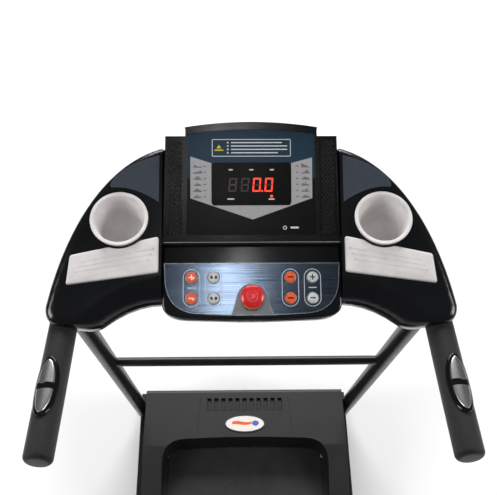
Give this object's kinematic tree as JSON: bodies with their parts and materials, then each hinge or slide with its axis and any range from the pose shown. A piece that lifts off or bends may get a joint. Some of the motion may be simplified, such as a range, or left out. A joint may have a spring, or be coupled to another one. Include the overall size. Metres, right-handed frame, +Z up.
{
  "type": "folding treadmill",
  "caption": "Folding treadmill with a black console, white cup holders and pads, foam handlebars with pulse sensors, a motor hood and a running belt.",
  "frame": {"origin": "on the floor, under the middle of the machine's overall box", "axes": "+Z up, +Y forward from the running belt to the motor hood, +X to the runner's right"},
  "size_m": [0.7036, 1.4, 1.251],
  "materials": {
    "frame_paint": "satin black powder coat",
    "motor_paint": "gloss black enamel",
    "steel": "turned steel",
    "cast_aluminium": "cast, unpainted",
    "control_aluminium": "brushed and dark anodised",
    "console_plastic": "moulded ABS, gloss black",
    "deck_plastic": "moulded ABS, fine grain",
    "white_plastic": "moulded ABS, satin warm white",
    "foam": "closed-cell foam, satin black",
    "sensor_plastic": "moulded ABS, gloss black",
    "belt_rubber": "PVC belt with a diamond emboss",
    "rubber": "moulded rubber",
    "board_wood": "MDF, waxed black laminate face",
    "display_film": "printed polyester film",
    "display_lens": "smoked acrylic",
    "circuit_board": "green solder resist",
    "orange_plastic": "moulded ABS, gloss",
    "silver_plastic": "silver painted ABS",
    "red_plastic": "moulded ABS, gloss",
    "yellow_plastic": "moulded ABS"
  },
  "bodies": {
    "base": {"base_front_beam": "frame_paint", "base_rear_beam": "frame_paint", "crossbar": "frame_paint", "power_inlet": "deck_plastic", "console_upper_shell": "console_plastic", "console_lower_shell": "console_plastic", "display_housing": "console_plastic", "display_film": "display_film", "display_lens": "display_lens", "control_plate": "control_aluminium", "control_board": "circuit_board", "stop_collar": "yellow_plastic", "base_rail_left": "frame_paint", "base_rail_right": "frame_paint", "foot_strip_left": "rubber", "foot_strip_right": "rubber", "upright_left": "frame_paint", "upright_right": "frame_paint", "grip_left": "foam", "grip_right": "foam", "pulse_housing_left": "sensor_plastic", "pulse_housing_right": "sensor_plastic", "cup_left": "white_plastic", "cup_right": "white_plastic", "pad_left": "white_plastic", "pad_right": "white_plastic"},
    "deck": {"deck_rear_beam": "frame_paint", "strut_beam": "frame_paint", "motor_plate": "frame_paint", "running_board": "board_wood", "running_belt": "belt_rubber", "drive_belt": "rubber", "motor": "motor_paint", "motor_controller": "cast_aluminium", "motor_hood": "deck_plastic", "deck_rail_left": "frame_paint", "deck_rail_right": "frame_paint", "side_step_left": "deck_plastic", "side_step_right": "deck_plastic", "end_cap_left": "deck_plastic", "end_cap_right": "deck_plastic", "rear_foot_left": "rubber", "rear_foot_right": "rubber"},
    "front_roller": {"front_roller": "steel"},
    "rear_roller": {"rear_roller": "steel"},
    "motor_rotor": {"motor_pulley": "steel"},
    "strut_tube": {"strut_cylinder": "frame_paint"},
    "strut_rod": {"strut_rod": "steel"},
    "wheel_left": {"wheel_left": "rubber"},
    "wheel_right": {"wheel_right": "rubber"},
    "switch_rocker": {"power_switch": "red_plastic"},
    "stop_button": {"stop_button": "red_plastic"},
    "button_left_outer_upper": {"button_left_outer_upper": "orange_plastic"},
    "button_left_outer_lower": {"button_left_outer_lower": "orange_plastic"},
    "button_left_inner_upper": {"button_left_inner_upper": "silver_plastic"},
    "button_left_inner_lower": {"button_left_inner_lower": "silver_plastic"},
    "button_right_outer_upper": {"button_right_outer_upper": "silver_plastic"},
    "button_right_outer_lower": {"button_right_outer_lower": "silver_plastic"},
    "button_right_inner_upper": {"button_right_inner_upper": "orange_plastic"},
    "button_right_inner_lower": {"button_right_inner_lower": "orange_plastic"}
  },
  "joints": [
    {"name": "deck_fold", "type": "hinge", "parent": "base", "child": "deck", "pos_m": [0, 0.625, 0.09], "axis": [-1, 0, 0], "range_deg": [0, 68]},
    {"name": "front_roller_spin", "type": "hinge", "parent": "deck", "child": "front_roller", "pos_m": [0, 0.505, 0.125], "axis": [1, 0, 0], "continuous": true},
    {"name": "rear_roller_spin", "type": "hinge", "parent": "deck", "child": "rear_roller", "pos_m": [0, -0.6267, 0.125], "axis": [1, 0, 0], "continuous": true},
    {"name": "motor_spin", "type": "hinge", "parent": "deck", "child": "motor_rotor", "pos_m": [0, 0.55, 0.186], "axis": [1, 0, 0], "continuous": true},
    {"name": "strut_swing", "type": "hinge", "parent": "base", "child": "strut_tube", "pos_m": [0, 0.37, 0.04], "axis": [-1, 0, 0], "range_deg": [0, 84]},
    {"name": "strut_extend", "type": "slide", "parent": "strut_tube", "child": "strut_rod", "axis": [0, -0.9991, 0.0431], "range_m": [0, 0.245]},
    {"name": "wheel_left_spin", "type": "hinge", "parent": "base", "child": "wheel_left", "pos_m": [-0.245, 0.67, 0.032], "axis": [1, 0, 0], "continuous": true},
    {"name": "wheel_right_spin", "type": "hinge", "parent": "base", "child": "wheel_right", "pos_m": [0.245, 0.67, 0.032], "axis": [1, 0, 0], "continuous": true},
    {"name": "power_rocker", "type": "hinge", "parent": "base", "child": "switch_rocker", "pos_m": [-0.07, 0.617, 0.028], "axis": [1, 0, 0], "range_deg": [0, 16]},
    {"name": "stop_press", "type": "slide", "parent": "base", "child": "stop_button", "axis": [0, 0.3746, -0.9272], "range_m": [0, 0.005], "stiffness_N_per_m": 600, "springref_m": -0.001},
    {"name": "button_left_outer_upper_press", "type": "slide", "parent": "base", "child": "button_left_outer_upper", "axis": [0, 0.3746, -0.9272], "range_m": [0, 0.0015], "stiffness_N_per_m": 500, "springref_m": -0.0008},
    {"name": "button_left_outer_lower_press", "type": "slide", "parent": "base", "child": "button_left_outer_lower", "axis": [0, 0.3746, -0.9272], "range_m": [0, 0.0015], "stiffness_N_per_m": 500, "springref_m": -0.0008},
    {"name": "button_left_inner_upper_press", "type": "slide", "parent": "base", "child": "button_left_inner_upper", "axis": [0, 0.3746, -0.9272], "range_m": [0, 0.0015], "stiffness_N_per_m": 500, "springref_m": -0.0008},
    {"name": "button_left_inner_lower_press", "type": "slide", "parent": "base", "child": "button_left_inner_lower", "axis": [0, 0.3746, -0.9272], "range_m": [0, 0.0015], "stiffness_N_per_m": 500, "springref_m": -0.0008},
    {"name": "button_right_outer_upper_press", "type": "slide", "parent": "base", "child": "button_right_outer_upper", "axis": [0, 0.3746, -0.9272], "range_m": [0, 0.0015], "stiffness_N_per_m": 500, "springref_m": -0.0008},
    {"name": "button_right_outer_lower_press", "type": "slide", "parent": "base", "child": "button_right_outer_lower", "axis": [0, 0.3746, -0.9272], "range_m": [0, 0.0015], "stiffness_N_per_m": 500, "springref_m": -0.0008},
    {"name": "button_right_inner_upper_press", "type": "slide", "parent": "base", "child": "button_right_inner_upper", "axis": [0, 0.3746, -0.9272], "range_m": [0, 0.0015], "stiffness_N_per_m": 500, "springref_m": -0.0008},
    {"name": "button_right_inner_lower_press", "type": "slide", "parent": "base", "child": "button_right_inner_lower", "axis": [0, 0.3746, -0.9272], "range_m": [0, 0.0015], "stiffness_N_per_m": 500, "springref_m": -0.0008}
  ],
  "couplings": [
    {"joint": "rear_roller_spin", "follows": "front_roller_spin", "ratio": 1},
    {"joint": "motor_spin", "follows": "front_roller_spin", "ratio": 2},
    {"joint": "strut_swing", "follows": "deck_fold", "ratio": 1.2226},
    {"joint": "strut_extend", "follows": "deck_fold", "m_per_rad": 0.20267}
  ]
}
